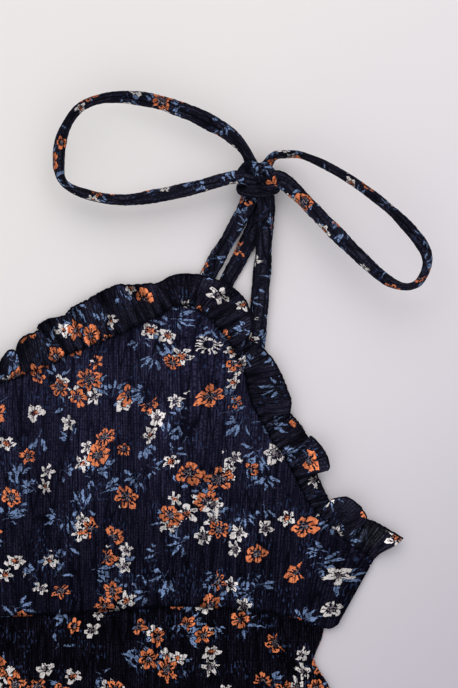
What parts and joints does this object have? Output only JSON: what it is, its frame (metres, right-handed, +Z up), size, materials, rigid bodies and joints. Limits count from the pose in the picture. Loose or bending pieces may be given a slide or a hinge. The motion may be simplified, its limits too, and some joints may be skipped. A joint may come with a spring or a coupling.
{
  "type": "a-line dress",
  "caption": "A-line dress laid flat, front up, with a pointed bodice, a gathered frill round its neckline and armholes, and tie straps in bows.",
  "frame": {"origin": "on the surface under the dress, at centre front, level with the seam under the bust", "axes": "+X towards the wearer's left, +Y from hem to neckline, +Z up from the surface"},
  "size_m": [0.66, 0.8992, 0.0292],
  "materials": {
    "bodice_cloth": "crinkled woven cloth, printed, matte",
    "skirt_cloth": "crinkled woven cloth, printed, matte",
    "frill_cloth": "crinkled woven cloth, printed, matte, rolled edge",
    "strap_cloth": "crinkled woven cloth, printed, matte, turned tube"
  },
  "bodies": {
    "root": {"front_bodice": "bodice_cloth", "back_bodice": "bodice_cloth", "front_skirt": "skirt_cloth", "back_skirt": "skirt_cloth", "frill_left": "frill_cloth", "frill_right": "frill_cloth", "frill_back": "frill_cloth", "strap_front_left": "strap_cloth", "strap_front_right": "strap_cloth", "strap_back_left": "strap_cloth", "strap_back_right": "strap_cloth", "bow_inner_left": "strap_cloth", "bow_inner_right": "strap_cloth", "bow_outer_left": "strap_cloth", "bow_outer_right": "strap_cloth", "tie_end_upper_left": "strap_cloth", "tie_end_upper_right": "strap_cloth", "tie_end_lower_left": "strap_cloth", "tie_end_lower_right": "strap_cloth", "bow_knot_left": "strap_cloth", "bow_knot_right": "strap_cloth"}
  },
  "joints": []
}
